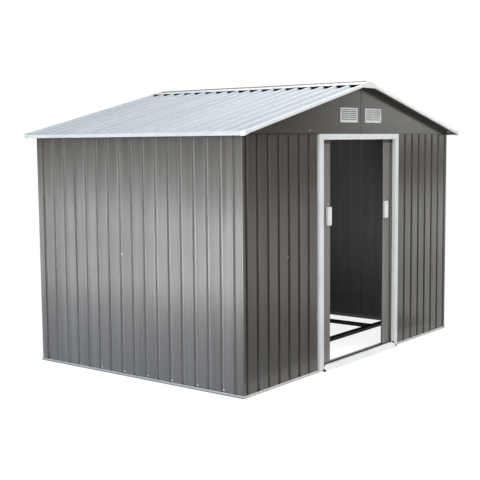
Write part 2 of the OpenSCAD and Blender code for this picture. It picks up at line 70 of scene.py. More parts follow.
# Folded sheets
WELD = 2e-5                        # corners closer than this are one
CUT_EDGE = 1.5                     # sides shorter than this many thicknesses of the sheet are cut edges
END_FACE = 0.5                     # least share of a face's normal along the folds that makes it an end
INWARD = -0.4                      # greatest share of a normal along the outward way that makes a face inward
BEND = 0.002                       # inner radius of a fold
BEND_SHARE = 0.35                  # most of a flat that the fold at one of its ends may take
EASE_SHARE = 0.3                   # most of that, from the end of a fold to the point that holds the flat
ARC_STEP = math.radians(22)        # most that a fold turns between two points
GROOVE_HALF = 0.007                # half the width of a groove's floor
FLAT_WAVE = 0.0006                 # how far the flats bulge and dip
SWELL = ((3.1, 1.0), (9.0, 0.6))   # how closely the bulges follow each other, and their shares
WAVE_STEP = 0.08                   # spacing of the stations along a sheet that bulges
WIDE_FLAT = 0.03                   # narrower flats don't bulge
FLAT_POINTS = 3                    # points across a flat that bulges
SHEET_CREASE = math.radians(35)    # sharper edges of a sheet aren't shaded smooth

# Eased edges
FLAT_TURN = math.radians(0.5)      # faces that turn less than this are one face
SHARP_TURN = math.radians(20)      # edges that turn more than this are eased
EDGE_PARTS = 2                     # facets of an eased edge


# Finishes
def add(tree, kind, inputs=None, **settings):
    """A shader node; an input is a value or another node's output."""
    made = tree.nodes.new(kind)
    for key, value in settings.items():
        setattr(made, key, value)
    for key, value in (inputs or {}).items():
        if isinstance(value, bpy.types.NodeSocket):
            tree.links.new(value, made.inputs[key])
        else:
            made.inputs[key].default_value = value
    return made


def finish(name):
    """A new material, its tree, its surface shader and the part's own coordinates."""
    material = bpy.data.materials.new(name)
    material.use_nodes = True
    tree = material.node_tree
    surface = tree.nodes["Principled BSDF"]
    return material, tree, surface, add(tree, "ShaderNodeTexCoord").outputs["Object"]


def cloud(tree, coords, scale, detail=3.0, stretch=(1, 1, 1)):
    """Noise from 0 to 1, stretched along the axes that have small factors."""
    mapped = add(tree, "ShaderNodeMapping", {"Vector": coords, "Scale": stretch}).outputs["Vector"]
    made = add(tree, "ShaderNodeTexNoise", {"Vector": mapped, "Scale": scale, "Detail": detail})
    return made.outputs["Fac"]


def spread(tree, value, low, high, start=0.25, end=0.75):
    """The value carried over from start..end to low..high."""
    made = add(tree, "ShaderNodeMapRange", {"Value": value, "From Min": start, "From Max": end,
                                            "To Min": low, "To Max": high})
    return made.outputs["Result"]


def shade(tree, colour, factor):
    """A colour, or a colour's output, made lighter or darker by the factor."""
    made = add(tree, "ShaderNodeVectorMath", {0: colour, 1: factor}, operation="MULTIPLY")
    return made.outputs["Vector"]


def blend(tree, factor, first, second):
    """The first colour where the factor is 0, and the second where it is 1."""
    made = add(tree, "ShaderNodeMix", data_type="RGBA")
    for key, value in (("Factor_Float", factor), ("A_Color", first), ("B_Color", second)):
        socket = next(s for s in made.inputs if s.identifier == key)
        if isinstance(value, bpy.types.NodeSocket):
            tree.links.new(value, socket)
        else:
            socket.default_value = (*value, 1.0)
    return next(s for s in made.outputs if s.identifier == "Result_Color")


def distance(tree, coords, axis):
    """How far a point lies from the part's origin along an axis."""
    along = add(tree, "ShaderNodeSeparateXYZ", {"Vector": coords}).outputs[axis]
    return add(tree, "ShaderNodeMath", {0: along}, operation="ABSOLUTE").outputs["Value"]


def wear(tree, surface, colour, rough, bump, bump_height):
    """Joins a colour, a roughness and a fine relief to the surface."""
    tree.links.new(colour, surface.inputs["Base Color"])
    tree.links.new(rough, surface.inputs["Roughness"])
    relief = add(tree, "ShaderNodeBump", {"Height": bump, "Strength": 0.25, "Distance": bump_height})
    tree.links.new(relief.outputs["Normal"], surface.inputs["Normal"])


def coated_sheet(name, colour, streak, rough, gloss=0.5, painted_zone=None):
    """Coated sheet with streaks along the rolling direction, a soft mottle and a fine grain.
    A painted zone is an axis, a reach along it to both sides of the origin, the colour inside that reach,
    which paints light or shade there, and half the width over which it fades."""
    material, tree, surface, coords = finish(name)
    lines = cloud(tree, coords, 1.0, 4.0, streak)
    mottle = cloud(tree, coords, 1.6, 1.0)
    toned = shade(tree, colour, spread(tree, lines, 0.93, 1.07))
    toned = shade(tree, toned, spread(tree, mottle, 0.94, 1.06, 0.0, 1.0))
    # painted light or shade: another colour within a reach along an axis
    if painted_zone:
        axis, reach, inner, fade = painted_zone
        near = spread(tree, distance(tree, coords, axis), 1.0, 0.0, reach - fade, reach + fade)
        toned = blend(tree, near, toned, inner)
    shine = surface.inputs["Specular IOR Level"]
    shine.default_value = gloss   # the same level, where the streaks are dropped; for a reader that drops the streaks
    tree.links.new(spread(tree, lines, 0.65 * gloss, 1.35 * gloss), shine)
    grain = add(tree, "ShaderNodeMath", {0: cloud(tree, coords, 700.0, 2.0), 1: 0.08, 2: lines},
                operation="MULTIPLY_ADD")
    varied = spread(tree, mottle, rough - 0.03, rough + 0.03, 0.0, 1.0)
    wear(tree, surface, toned, varied, grain.outputs["Value"], 0.0008)
    return material


def moulded(name, colour, rough, louvre=None):
    """Moulded plastic with a faint mottle and a fine grain.
    Louvre is the plane of a louvre's face, the depths behind it where painted shade starts and is full,
    and the colour of that painted shade."""
    material, tree, surface, coords = finish(name)
    mottle = cloud(tree, coords, 14.0)
    toned = shade(tree, colour, spread(tree, mottle, 0.96, 1.03))
    if louvre:
        face, start, full, recess_shade = louvre
        # painted shade, darker deeper behind the louvre's face
        behind = spread(tree, distance(tree, coords, "Y"), 1.0, 0.0, face - full, face - start)
        toned = blend(tree, behind, toned, recess_shade)
    varied = spread(tree, mottle, rough - 0.04, rough + 0.06)
    wear(tree, surface, toned, varied, cloud(tree, coords, 1500.0, 1.0), 0.0001)
    return material


def zinc(name, colour, spangle, metal, rough, slot=None):
    """Zinc-coated steel: flat crystals of differing brightness, with a dull bloom.
    Slot is the height below which a track is painted dark as painted shade, the height over which it fades,
    and its colour."""
    material, tree, surface, coords = finish(name)
    crystals = add(tree, "ShaderNodeTexVoronoi", {"Vector": coords, "Scale": spangle}).outputs["Color"]
    bright = add(tree, "ShaderNodeSeparateColor", {"Color": crystals}).outputs["Red"]
    bloom = cloud(tree, coords, 7.0, 5.0)
    toned = shade(tree, colour, spread(tree, bright, 0.86, 1.1, 0.0, 1.0))
    toned = shade(tree, toned, spread(tree, bloom, 0.9, 1.06))
    if slot:
        # painted shade low in the track
        top, fade, slot_shade = slot
        low = spread(tree, distance(tree, coords, "Z"), 1.0, 0.0, top - fade, top)
        toned = blend(tree, low, toned, slot_shade)
    varied = spread(tree, bloom, rough - 0.06, rough + 0.08)
    wear(tree, surface, toned, varied, bright, 0.00005)
    surface.inputs["Metallic"].default_value = metal
    return material


# What several finishes share, in the order in which their functions take it
UPRIGHT, SLOPING = (45, 45, 0.6), (0.6, 60, 0.6)   # streaks of sheets rolled along Z and down the roof
EVEN = (6, 6, 6)                                   # no streaks
WALL = (0.080, 0.071, 0.060), UPRIGHT, 0.235
TRIM = EVEN, 0.38, 0.4
PLASTIC = (0.80, 0.81, 0.805), 0.42
ZINC = (0.40, 0.44, 0.47), 120.0, 0.35, 0.46
DULL_ZINC = 120.0, 0.1, 0.50

# Where a finish changes its colour, mostly to paint light or shade
CRISP = 0.0005                              # half the width of a crisp change
CAP_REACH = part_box("ridge_cap")[1].x
CREST_REACH = 0.0105                        # half the width of the ridge cap's crest, which is painted darker as painted shade
SIDE_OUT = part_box("right_wall")[1].x
FRONT_OUT = -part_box("front_wall_left")[0].y
DOOR_OUT = -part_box("left_door")[0].y
SIDE_GROOVE, FRONT_GROOVE = 0.0045, 0.004   # depths at which the painted tone of a groove starts: painted light in the side walls, painted shade in the front walls and doors
GABLE_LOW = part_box("gable_front_left")[0].z
GABLE_SHADOW_LINE = 0.006                          # height of the painted shadow line along a gable's lower edge
LOW_SHADE_TOP, LOW_SHADE_FADE = 0.47, 0.30            # painted shade: the inner coat darkens towards the ground
VENT_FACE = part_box("vents")[1].y
VENT_SHADE_START, VENT_SHADE_FULL = 0.0050, 0.0095    # depths behind a vent's face where its painted shade starts and is full
SLOT_TOP, SLOT_FADE = 0.0295, 0.001         # painted shade in the lower track's slot

FINISH = {
    "wall_sheet": coated_sheet("wall_sheet", *WALL),
    # the roof's pans under the ridge cap are painted near black: painted shade
    "roof_sheet": coated_sheet("roof_sheet", (0.51, 0.56, 0.605), SLOPING, 0.34, 0.9,
                               ("X", CAP_REACH, (0.006, 0.006, 0.006), CRISP)),
    "white_trim": coated_sheet("white_trim", (0.82, 0.84, 0.845), *TRIM),
    "white_plastic": moulded("white_plastic", *PLASTIC),
    "galvanised": zinc("galvanised", *ZINC),
    "beam_black": coated_sheet("beam_black", (0.014, 0.014, 0.015), (9, 9, 9), 0.55, 0.2),
}
# the ridge cap's crest is painted darker: painted shade of its flank
CREST_FINISH = coated_sheet("ridge_cap", (0.79, 0.805, 0.81), *TRIM,
                            painted_zone=("X", CREST_REACH, (0.22, 0.205, 0.19), CRISP))
# the side walls' groove floors are painted paler than the flats: painted light
SIDE_FINISH = coated_sheet("side_sheet", *WALL,
                           painted_zone=("X", SIDE_OUT - SIDE_GROOVE, (0.150, 0.148, 0.146), CRISP))
# the front walls' grooves are painted darker than the flats: painted shade
FRONT_FINISH = coated_sheet("front_sheet", *WALL,
                            painted_zone=("Y", FRONT_OUT - FRONT_GROOVE, (0.040, 0.036, 0.031), CRISP))
# a dark line along the gables' lower edge: painted shadow
GABLE_FINISH = coated_sheet("gable_sheet", *WALL,
                            painted_zone=("Z", GABLE_LOW + GABLE_SHADOW_LINE, (0.016, 0.015, 0.013), CRISP))
# the white trim made darker on the eave trims: painted shade
SHADED_EAVE_FINISH = coated_sheet("shaded_eave_white", (0.61, 0.635, 0.65), *TRIM)
# the doors' grooves are painted darker than the flats: painted shade
DOOR_FINISH = coated_sheet("door_sheet", (0.200, 0.187, 0.171), UPRIGHT, 0.33,
                           painted_zone=("Y", DOOR_OUT - FRONT_GROOVE, (0.060, 0.057, 0.052), CRISP))
# the inner coat is painted darker low down: painted shade
BACKING = coated_sheet("backing_coat", (0.36, 0.36, 0.353), UPRIGHT, 0.5, 0.3,
                       painted_zone=("Z", LOW_SHADE_TOP, (0.13, 0.13, 0.128), LOW_SHADE_FADE))
# near black: painted shade on the roof's underside; the boards beside the set use it too
UNDERSIDE = coated_sheet("roof_underside", (0.040, 0.036, 0.031), SLOPING, 0.5, 0.3)
BOARD = coated_sheet("grey_board", (0.45, 0.45, 0.45), (1, 1, 1), 0.6, 0.2)
# one zinc rail in two colours: darker on the side rails as painted shade, paler on the front and rear rails
# as painted light
SHADED_RAIL_FINISH = zinc("rail_zinc", (0.135, 0.15, 0.16), *DULL_ZINC)
LIT_RAIL = zinc("pale_rail_zinc", (0.60, 0.60, 0.59), *DULL_ZINC)
SCREW_FINISH = zinc("screw_zinc", (0.52, 0.53, 0.53), 900.0, 0.5, 0.38)
# the vents' slats are painted darker deep in the recess: painted shade
VENT_FINISH = moulded("vent_plastic", *PLASTIC, (VENT_FACE, VENT_SHADE_START, VENT_SHADE_FULL, (0.30, 0.31, 0.32)))
# the white plastic made paler on the handles: painted light
LIT_HANDLE_FINISH = moulded("lit_handle_plastic", (0.92, 0.925, 0.92), 0.42)
TRACK_FINISH = zinc("track_zinc", *ZINC, (SLOT_TOP, SLOT_FADE, (0.02, 0.02, 0.022)))
SILL_FINISH = coated_sheet("threshold_white", (0.90, 0.905, 0.91), *TRIM)

finish_of = {name: FINISH[slot_of[name]] for name in nodes}
for own, names in ((CREST_FINISH, ["ridge_cap"]), (SHADED_EAVE_FINISH, ["eave_trim_left", "eave_trim_right"]),
                   (SIDE_FINISH, ["left_wall", "right_wall"]),
                   (FRONT_FINISH, ["front_wall_left", "front_wall_right"]),
                   (GABLE_FINISH, [name for name in nodes if name.startswith("gable_")]),
                   (DOOR_FINISH, ["left_door", "right_door"]),
                   (LIT_HANDLE_FINISH, ["left_door_handle", "right_door_handle"]),
                   (VENT_FINISH, ["vents"]), (SILL_FINISH, ["threshold"]),
                   (TRACK_FINISH, ["lower_door_track"]),
                   (SHADED_RAIL_FINISH, ["base_rail_left", "base_rail_right"]),
                   (LIT_RAIL, ["base_rail_front", "base_rail_rear"])):
    finish_of |= dict.fromkeys(names, own)
for name, cad_node in nodes.items():
    cad_node.data.materials.clear()
    cad_node.data.materials.append(finish_of[name])


# Pieces made from the frame
def piece(name, mesh, body, slot, material, node=None):
    """Puts a mesh in the scene on its body, in place of a CAD node if one is named."""
    made = bpy.data.objects.new(name, mesh)
    bpy.context.scene.collection.objects.link(made)
    mesh.materials.append(material)
    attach(made, body)
    if node:
        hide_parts(node)
    return made


def stand_in(node, mesh):
    """Puts a mesh in the scene in place of a CAD node."""
    return piece(node + "_skin", mesh, nodes[node]["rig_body"], slot_of[node], finish_of[node], node)


def smooth_mesh(name, verts, faces, crease):
    """A mesh that is shaded smooth, apart from the edges that turn by more than the crease."""
    mesh = bpy.data.meshes.new(name)
    mesh.from_pydata(verts, [], faces)
    mesh.polygons.foreach_set("use_smooth", [True] * len(mesh.polygons))
    mesh.set_sharp_from_angle(angle=crease)
    return mesh


def eased_mesh(name, solid, edges, width):
    """A mesh of the solid with the given edges rounded by the width."""
    bmesh.ops.bevel(solid, geom=edges, offset=width, segments=EDGE_PARTS, profile=0.5, affect="EDGES",
                    clamp_overlap=True)
    mesh = bpy.data.meshes.new(name)
    solid.to_mesh(mesh)
    solid.free()
    return mesh


def welded(node):
    """The node's solids as one mesh whose faces share their corners."""
    solid = bmesh.new()
    solid.from_mesh(nodes[node].data)
    bmesh.ops.remove_doubles(solid, verts=solid.verts, dist=WELD)
    return solid


def islands(solid):
    """The vertices of each separate solid."""
    seen = set()
    for first in solid.verts:
        if first in seen:
            continue
        seen.add(first)
        reached = [first]
        for vert in reached:
            for edge in vert.link_edges:
                other = edge.other_vert(vert)
                if other not in seen:
                    seen.add(other)
                    reached.append(other)
        yield reached


def outline(faces):
    """The vertices round the edge of a flat patch of faces, in order."""
    uses = {}
    for face in faces:
        for edge in face.edges:
            uses[edge] = uses.get(edge, 0) + 1
    rim = {edge: None for edge, count in uses.items() if count == 1}
    edge = next(iter(rim))
    del rim[edge]
    loop = [edge.verts[0], edge.verts[1]]
    while True:
        onward = next((e for e in loop[-1].link_edges if e in rim), None)
        if onward is None:
            return loop[:-1]
        del rim[onward]
        loop.append(onward.other_vert(loop[-1]))


def rounded(points, flat_points):
    """The outline of a folded sheet with its bends rounded, and how far each point may bulge.
    Cut edges stay sharp. Wide flats get a few more points if flat_points is above 0."""
    count = len(points)
    steps = [points[(i + 1) % count] - points[i] for i in range(count)]
    lengths = [np.hypot(*s) for s in steps]
    sheet = min(lengths)
    corners = []
    for i in range(count):
        before, after = lengths[i - 1], lengths[i]
        if min(before, after) < CUT_EDGE * sheet:
            corners.append([points[i]])
            continue
        along, away = steps[i - 1] / before, steps[i] / after
        turn = math.atan2(along[0] * away[1] - along[1] * away[0], along @ away)
        radius = BEND + (sheet if turn > 0 else 0)
        reach = radius * math.tan(abs(turn) / 2)
        room = BEND_SHARE * min(before, after)
        radius, reach = (radius, reach) if reach < room else (radius * room / reach, room)
        start = points[i] - along * reach
        centre = start + math.copysign(radius, turn) * np.array((-along[1], along[0]))
        parts = max(2, math.ceil(abs(turn) / ARC_STEP))
        arc = []
        for k in range(parts + 1):
            c, s = math.cos(turn * k / parts), math.sin(turn * k / parts)
            arc.append(centre + np.array(((c, -s), (s, c))) @ (start - centre))
        ease = min(reach, EASE_SHARE * room)
        corners.append([start - along * ease, *arc, points[i] + away * (reach + ease)])
    path, bulge = [], []
    for i, corner in enumerate(corners):
        path += corner
        bulge += [0.0] * len(corner)
        first, last = corner[-1], corners[(i + 1) % count][0]
        if flat_points and np.hypot(*(last - first)) > WIDE_FLAT:
            for k in range(1, flat_points + 1):
                share = k / (flat_points + 1)
                path.append(first + (last - first) * share)
                bulge.append(math.sin(math.pi * share))
    return np.array(path), np.array(bulge)


def sheet_ends(island, axis, basis):
    """The outline of a folded sheet across its axis, and the planes of its low and high ends."""
    heights = [vert.co.dot(axis) for vert in island]
    middle = (min(heights) + max(heights)) / 2
    ends = {False: {}, True: {}}
    for vert in island:
        for face in vert.link_faces:
            if abs(face.normal.dot(axis)) > END_FACE:
                ends[face.calc_center_median().dot(axis) > middle][face] = None
    rims = [np.array([vert.co for vert in outline(ends[high])]) @ basis.T for high in (False, True)]
    planes = [np.linalg.lstsq(np.c_[rim[:, :2], np.ones(len(rim))], rim[:, 2], rcond=None)[0] for rim in rims]
    profile = rims[0][:, :2]
    if sum(a[0] * b[1] - a[1] * b[0] for a, b in zip(profile, np.roll(profile, -1, 0))) < 0:
        profile = profile[::-1]
    return profile, planes


def swollen(row, bulge, wave, share):
    """One station of a sheet, its flats moved out or in along wave, and less near the sheet's ends."""
    calm = math.sin(math.pi * share) ** 0.5
    level = row - np.outer(row @ np.array(wave), wave)
    swell = [sum(part * noise.noise(Vector(p) * rate) for rate, part in SWELL) for p in level]
    return row + np.outer(FLAT_WAVE * calm * bulge * np.array(swell), wave)


def refold(node, along=None, wave=None):
    """A CAD node of folded sheets built again with rounded bends, and flats that bulge along wave.
    Along tells which way the folds run from a sheet's middle, where that isn't its longest way."""
    solid = welded(node)
    verts, faces = [], []
    for island in islands(solid):
        spots = np.array([v.co for v in island])
        axis = along(spots.mean(0)) if along else (X, Y, Z)[int(np.argmax(np.ptp(spots, 0)))]
        side = next(d for d in (X, Y, Z) if abs(d.dot(axis)) < 1e-6)
        basis = np.array((side, axis.cross(side), axis))
        profile, planes = sheet_ends(island, axis, basis)
        path, bulge = rounded(profile, FLAT_POINTS if wave else 0)
        flat = np.c_[path, np.ones(len(path))]
        low, high = flat @ planes[0], flat @ planes[1]
        stations = max(1, round((high - low).max() / WAVE_STEP)) if wave else 1
        base, n = len(verts), len(path)
        for k in range(stations + 1):
            share = k / stations
            row = np.c_[path, low + (high - low) * share] @ basis
            verts += (swollen(row, bulge, wave, share) if wave else row).tolist()
        for k in range(stations):
            a, b = base + k * n, base + (k + 1) * n
            faces += [(a + i, a + (i + 1) % n, b + (i + 1) % n, b + i) for i in range(n)]
        faces.append(tuple(base + i for i in reversed(range(n))))
        faces.append(tuple(base + stations * n + i for i in range(n)))
    solid.free()
    return stand_in(node, smooth_mesh(node + "_skin", verts, faces, SHEET_CREASE))


def ease_edges(node, width):
    """A CAD node built again with its sharp edges rounded by the width."""
    solid = welded(node)
    bmesh.ops.dissolve_limit(solid, angle_limit=FLAT_TURN, verts=solid.verts, edges=solid.edges)
    sharp = [e for e in solid.edges if len(e.link_faces) == 2 and e.calc_face_angle() > SHARP_TURN]
    return stand_in(node, eased_mesh(node + "_skin", solid, sharp, width))


broadest = max(nodes["ridge_cap"].data.polygons, key=lambda face: face.area).normal
PITCH = math.atan2(abs(broadest.x), abs(broadest.z))


def down_slope(middle):
    """The direction down the slope that a point of the roof lies on."""
    return Vector((math.copysign(math.cos(PITCH), middle[0]), 0, -math.sin(PITCH)))


def back_coat(skin, coat, outward):
    """Gives the faces that look away from the outward direction a finish of their own."""
    skin.data.materials.append(coat)
    for face in skin.data.polygons:
        face.material_index = int(face.normal.dot(outward.normalized()) < INWARD)


for node, outward in (("front_wall_left", -Y), ("front_wall_right", -Y), ("left_wall", -X), ("right_wall", X),
                      ("rear_wall", Y), ("left_door", -Y), ("right_door", -Y)):
    back_coat(refold(node, wave=outward), BACKING, outward)
for node, outward in (("corner_front_left", -X - Y), ("corner_front_right", X - Y),
                      ("corner_rear_left", Y - X), ("corner_rear_right", X + Y)):
    back_coat(refold(node), BACKING, outward)
for node in ("base_rail_front", "base_rail_rear", "base_rail_left", "base_rail_right", "lower_door_track",
             "upper_door_track", "floor_beams", "top_rails", "ridge_beam", "roof_beams", "ridge_cap",
             "eave_trim_left", "eave_trim_right", "threshold", "left_door_rails", "right_door_rails"):
    refold(node)
for node in ("verge_trim_front", "verge_trim_rear"):
    refold(node, along=down_slope)
# the roof's underside takes the near-black painted shade
for node, side in (("roof_left", -1), ("roof_right", 1)):
    outward = Vector((side * math.sin(PITCH), 0, math.cos(PITCH)))
    back_coat(refold(node, along=down_slope, wave=outward), UNDERSIDE, outward)
for width, names in ((0.0003, ["gable_front_left", "gable_front_right"]),
                     (0.0003, ["gable_rear_left", "gable_rear_right"]),
                     (0.0004, ["vents"]),
                     (0.0005, ["peak_caps", "corner_caps"]),
                     (0.0005, ["door_header", "door_jamb_left", "door_jamb_right"]),
                     (0.0004, ["left_door_hangers", "right_door_hangers"]),
                     (0.0014, ["left_door_handle", "right_door_handle"])):
    for node in names:
        ease_edges(node, width)


# Fasteners, each seated where a line towards the shed meets its surface
SCREW = ((5.2, 0), (5.2, 0.7), (4.8, 1.1), (4.1, 1.2), (3.8, 2.5), (3.0, 3.3), (1.9, 3.6), (1.5, 2.8),
         (0, 2.6))
RIVET = ((3.6, 0), (3.5, 0.6), (2.8, 1.3), (1.6, 1.7), (1.3, 1.2), (0, 1.1))
HEAD_SIDES = 12                   # sides of a screw's or rivet's head
HEAD_CREASE = math.radians(40)    # sharper edges of a head aren't shaded smooth
AIM_REACH = 0.2                   # how far an aim may lie from the shed
OFF = 0.03                        # how far outside the shed most aims start
FOOT_Z, LAP_Z = 0.026, 0.793      # heights of the screws in the walls
SIDE_GROOVES, SIDE_LAP = 17, 7    # grooves of a side wall, and the one with a screw at LAP_Z
REAR_GROOVES, REAR_LAPS = 25, (5, 19)
FRONT_GROOVES, FRONT_LAP = 8, 4
RIBS = 19                         # ribs of a roof slope
LAST_GROOVE = 0.0058              # from a jamb to the middle of the groove beside it
GABLE_X, GABLE_Z = 0.622, 1.5705  # screws of the gables
HEADER_IN = 0.024                 # rivets from the header's ends
VENT_IN = 0.0045                  # rivets from the edges of a vent
RIB_IN = 0.010                    # middle of a roof slope's first rib from the slope's edge
ROOF_TOP = 2.0                    # height over the ridge of the slopes on which the roof's aims start
ROOF_ROWS = (CAP_REACH - 0.018, 0.664, 1.300)   # rows of roof screws, from the ridge
HANDLE_IN, HANDLE_OFF = 0.013, 0.01             # screws from a handle's ends, and where their aims start

corners, facets = [], []
for cad_node in nodes.values():
    facets += [[len(corners) + i for i in face.vertices] for face in cad_node.data.polygons]
    corners += [vert.co.copy() for vert in cad_node.data.vertices]
SURFACE = BVHTree.FromPolygons(corners, facets)


def fasten(name, shape, aims, body="shed"):
    """Turned heads with a profile in millimetres, where each aim of a start and a way meets the shed."""
    verts, faces = [], []
    around = [(k, (k + 1) % HEAD_SIDES) for k in range(HEAD_SIDES)]
    angles = [math.tau * k / HEAD_SIDES for k in range(HEAD_SIDES)]
    for start, way in aims:
        spot, normal, _, _ = SURFACE.ray_cast(start, way, AIM_REACH)
        if normal.dot(way) > 0:
            normal = -normal
        turn = normal.to_track_quat("Z", "Y").to_matrix()
        first = len(verts)
        for radius, height in shape[:-1]:
            ring = [Vector((radius * math.cos(a), radius * math.sin(a), height)) for a in angles]
            verts += [spot + turn @ point / 1000 for point in ring]
        tip = len(verts)
        verts.append(spot + turn @ Vector((0, 0, shape[-1][1])) / 1000)
        for low in range(first, tip - HEAD_SIDES, HEAD_SIDES):
            high = low + HEAD_SIDES
            faces += [(low + a, low + b, high + b, high + a) for a, b in around]
        faces += [(tip - HEAD_SIDES + a, tip - HEAD_SIDES + b, tip) for a, b in around]
    piece(name, smooth_mesh(name, verts, faces, HEAD_CREASE), body, "galvanised", SCREW_FINISH)


def spaced(low, high, count):
    """Evenly spaced places from low to high."""
    return [low + (high - low) * i / (count - 1) for i in range(count)]


for name, side in (("left_wall", -1), ("right_wall", 1)):
    low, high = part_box(name)
    grooves = spaced(high.y - GROOVE_HALF, low.y + GROOVE_HALF, SIDE_GROOVES)
    places = [(y, FOOT_Z) for y in grooves[1::2]] + [(grooves[SIDE_LAP], LAP_Z)]
    out = max(abs(low.x), abs(high.x)) + OFF
    fasten(name + "_screws", SCREW, [(Vector((side * out, y, z)), -side * X) for y, z in places])
low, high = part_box("rear_wall")
grooves = spaced(low.x + GROOVE_HALF, high.x - GROOVE_HALF, REAR_GROOVES)
places = [(x, FOOT_Z) for x in grooves[1::2]] + [(grooves[i], LAP_Z) for i in REAR_LAPS]
fasten("rear_wall_screws", SCREW, [(Vector((x, high.y + OFF, z)), -Y) for x, z in places])
low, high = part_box("front_wall_left")
grooves = spaced(low.x + GROOVE_HALF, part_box("door_jamb_left")[0].x - LAST_GROOVE, FRONT_GROOVES)
places = [(x, FOOT_Z) for x in grooves[0:7:2]] + [(grooves[FRONT_LAP], LAP_Z)]
for name, side in (("front_wall_left", 1), ("front_wall_right", -1)):
    fasten(name + "_screws", SCREW, [(Vector((side * x, low.y - OFF, z)), Y) for x, z in places])
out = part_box("gable_rear_right")[1].y + OFF
fasten("gable_screws", SCREW, [(Vector((x, -side * out, GABLE_Z)), side * Y) for side in (-1, 1)
                               for x in (-GABLE_X, GABLE_X)])
low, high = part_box("door_header")
fasten("header_rivets", RIVET, [(Vector((side * (high.x - HEADER_IN), low.y - OFF, z)), Y) for side in (-1, 1)
                                for z in (low.z * 0.75 + high.z * 0.25, low.z * 0.25 + high.z * 0.75)])
solid = welded("vents")
aims = []
for island in islands(solid):
    spots = np.array([v.co for v in island])
    low, high = spots.min(0), spots.max(0)
    side = 1 if low[1] < 0 else -1
    out = low[1] - OFF if side > 0 else high[1] + OFF
    aims += [(Vector((x, out, z)), side * Y) for x in (low[0] + VENT_IN, high[0] - VENT_IN)
             for z in (low[2] + VENT_IN, high[2] - VENT_IN)]
solid.free()
fasten("vent_rivets", RIVET, aims)
low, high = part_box("roof_right")
ribs = spaced(low.y + RIB_IN, high.y - RIB_IN, RIBS)[1::2]
for name, side in (("roof_left", -1), ("roof_right", 1)):
    fasten(name + "_screws", SCREW, [(Vector((side * x, y, ROOF_TOP - math.tan(PITCH) * x)), -Z) for y in ribs
                                     for x in ROOF_ROWS])
for body in ("left_door", "right_door"):
    low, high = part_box(body + "_handle")
    fasten(body + "_handle_screws", RIVET, [(Vector(((low.x + high.x) / 2, low.y - HANDLE_OFF, z)), Y)
                                            for z in (low.z + HANDLE_IN, high.z - HANDLE_IN)], body)


# Black blocks at the ends of the threshold, at the feet of the door frame
END_BLOCK_W, CAP_D = 0.013, 0.012         # reach of the blocks from the threshold's ends, and depth of the caps
FOOT_TOP, CAP_RISE = 0.0125, 0.007   # height of the feet, and of the caps over the threshold
END_BLOCK_GAP, CAP_OVER = 0.0005, 0.0008  # gap round the feet, and overhang of the caps
END_BLOCK_EASE = 0.001                    # rounding of the blocks' edges


def blocks(name, boxes, slot, material):
    """Small boxes with eased edges, each from its two corners."""
    solid = bmesh.new()
    for low, high in boxes:
        place = Matrix.LocRotScale((Vector(low) + Vector(high)) / 2, None, Vector(high) - Vector(low))
        bmesh.ops.create_cube(solid, size=1.0, matrix=place)
    piece(name, eased_mesh(name, solid, solid.edges[:], END_BLOCK_EASE), "shed", slot, material)


low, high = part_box("threshold")
jamb_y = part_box("door_jamb_right")[0].y
foot = ((high.x + END_BLOCK_GAP, low.y + 2 * END_BLOCK_GAP, END_BLOCK_GAP), (high.x + END_BLOCK_W, jamb_y, FOOT_TOP))
cap = ((high.x - END_BLOCK_W, jamb_y, high.z), (high.x + CAP_OVER, jamb_y + CAP_D, high.z + CAP_RISE))
end_blocks = []
for (inner, front, bottom), (outer, back, top) in (foot, cap):
    end_blocks += [((inner, front, bottom), (outer, back, top)), ((-outer, front, bottom), (-inner, back, top))]
blocks("threshold_end_blocks", end_blocks, "beam_black", FINISH["beam_black"])


# Floor and background
FLOOR_HALF, FLOOR_Z = 60, -0.001


def seen_rays(tree):
    """1 for the rays that show the background, straight or in a surface."""
    path = add(tree, "ShaderNodeLightPath").outputs
    seen = path["Is Camera Ray"]
    for other in ("Is Glossy Ray", "Is Transmission Ray"):
        seen = add(tree, "ShaderNodeMath", {0: seen, 1: path[other]}, operation="MAXIMUM").outputs[0]
    return seen


def sheet_of(name, x, y, z):
    """A level rectangle round the origin, from half its width, half its depth and its height."""
    mesh = bpy.data.meshes.new(name)
    mesh.from_pydata([(-x, -y, z), (x, -y, z), (x, y, z), (-x, y, z)], [], [(0, 1, 2, 3)])
    return mesh


def stage_floor():
    """A plain pale floor, which looks white and gives back less light than it seems to."""
    mesh = sheet_of("floor", FLOOR_HALF, FLOOR_HALF, FLOOR_Z)
    floor = bpy.data.objects.new("floor", mesh)
    bpy.context.scene.collection.objects.link(floor)
    material = bpy.data.materials.new("floor")
    material.use_nodes = True
    tree = material.node_tree
    tree.nodes.remove(tree.nodes["Principled BSDF"])
    seen = seen_rays(tree)
    colour = blend(tree, seen, (0.5, 0.5, 0.5), (0.36, 0.36, 0.36))
    matt = add(tree, "ShaderNodeBsdfDiffuse", {"Color": colour})
    strength = spread(tree, seen, 0.0, 0.86, 0.0, 1.0)
    glow = add(tree, "ShaderNodeEmission", {"Color": (1, 1, 1, 1), "Strength": strength})
    both = add(tree, "ShaderNodeAddShader", {0: matt.outputs[0], 1: glow.outputs[0]})
    tree.links.new(both.outputs[0], tree.nodes["Material Output"].inputs["Surface"])
    mesh.materials.append(material)


